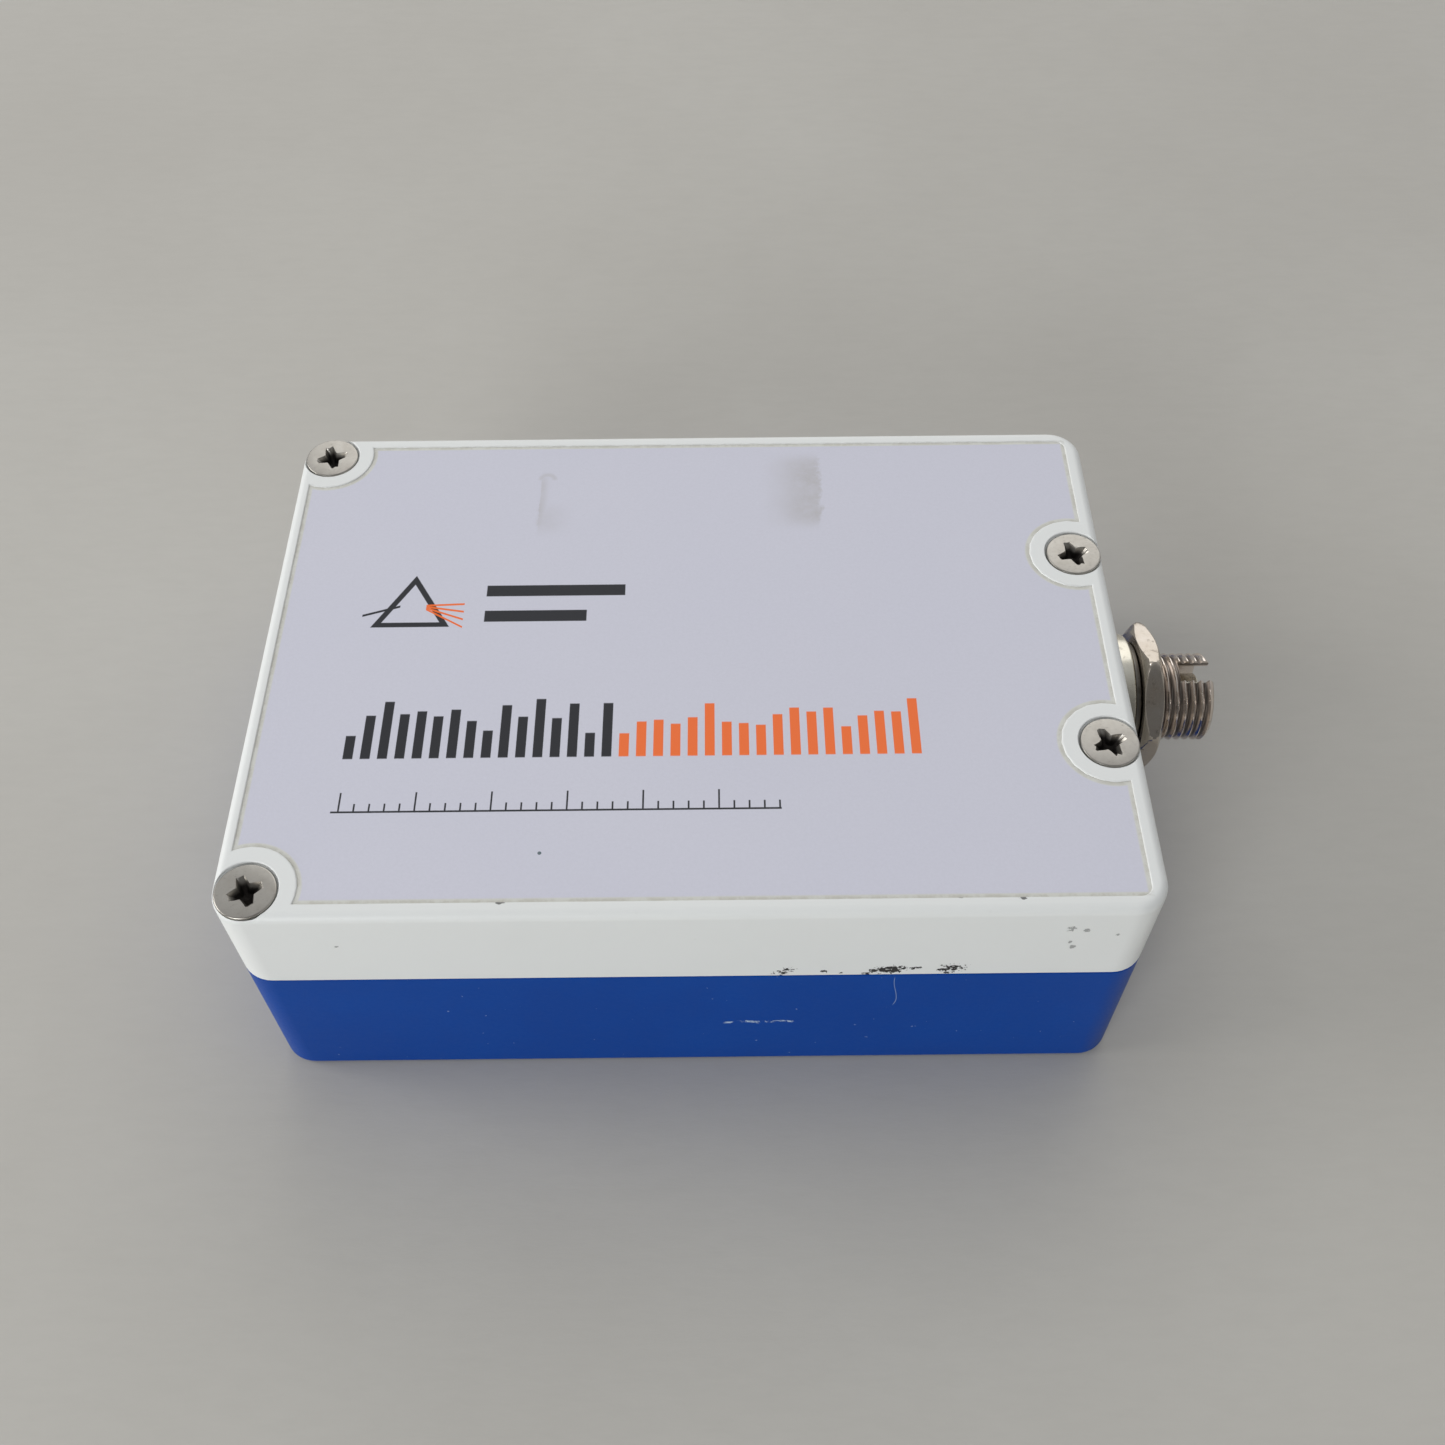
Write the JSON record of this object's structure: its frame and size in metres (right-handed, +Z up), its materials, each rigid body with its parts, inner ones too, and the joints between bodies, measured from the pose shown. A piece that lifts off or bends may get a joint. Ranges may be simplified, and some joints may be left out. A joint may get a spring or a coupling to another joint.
{
  "type": "fibre spectrometer",
  "caption": "Pocket spectrometer in a two-part metal case with a keyed threaded fibre inlet, a scanning interferometer inside and a cover that lifts off.",
  "frame": {"origin": "middle of the flat bottom face that the case rests on", "axes": "+X along the case towards the fibre inlet, +Y across the case towards its back, +Z up"},
  "size_m": [0.0851, 0.054, 0.027],
  "materials": {
    "blue_coat": "satin",
    "white_coat": "satin",
    "label_film": "matte",
    "nickel": "gloss",
    "steel": "satin",
    "seal": "matte",
    "zirconia": "satin",
    "black_alloy": "satin",
    "brass": "satin",
    "lens_glass": "polished",
    "silicon": "gloss",
    "mirror_gold": "polished",
    "ceramic": "matte",
    "board_green": "satin",
    "mould_black": "matte",
    "ferrite": "matte",
    "polyimide": "satin"
  },
  "bodies": {
    "case": {"base_case": "blue_coat", "beam_splitter": "lens_glass", "bench_screw_1": "steel", "bench_screw_2": "steel", "bench_screw_3": "steel", "bench_screw_4": "steel", "bench_standoff_1": "brass", "bench_standoff_2": "brass", "bench_standoff_3": "brass", "bench_standoff_4": "brass", "board_screw_1": "steel", "board_screw_2": "steel", "case_gasket": "seal", "clock_crystal": "steel", "collimator_lens": "lens_glass", "comb_drive": "silicon", "detector_board": "board_green", "detector_can": "nickel", "detector_mount": "black_alloy", "detector_ribbon": "polyimide", "detector_socket": "ceramic", "face_ring": "nickel", "fibre_receptacle": "nickel", "fixed_mirror": "mirror_gold", "hex_nut": "nickel", "input_ferrule": "zirconia", "interferometer_chip": "silicon", "lens_barrel": "black_alloy", "lock_washer": "steel", "main_board": "board_green", "memory_chip": "mould_black", "mirror_driver": "mould_black", "mirror_ribbon": "polyimide", "mirror_socket": "ceramic", "optics_bench": "black_alloy", "power_inductor": "ferrite", "processor": "mould_black", "sleeve_holder": "nickel", "split_sleeve": "zirconia", "usb_bridge": "mould_black", "usb_receptacle": "steel", "usb_tongue": "mould_black"},
    "cover": {"top_cover": "white_coat", "label_plate": "label_film", "cover_screw_1": "steel", "cover_screw_2": "steel", "cover_screw_3": "steel", "cover_screw_4": "steel"},
    "scanner": {"scan_mirror": "mirror_gold"}
  },
  "joints": [
    {"name": "cover_lift", "type": "slide", "parent": "case", "child": "cover", "axis": [0, 0, 1], "range_m": [0, 0.04]},
    {"name": "mirror_scan", "type": "slide", "parent": "case", "child": "scanner", "axis": [0, 1, 0], "range_m": [-0.0003, 0.0003], "stiffness_N_per_m": 60}
  ]
}
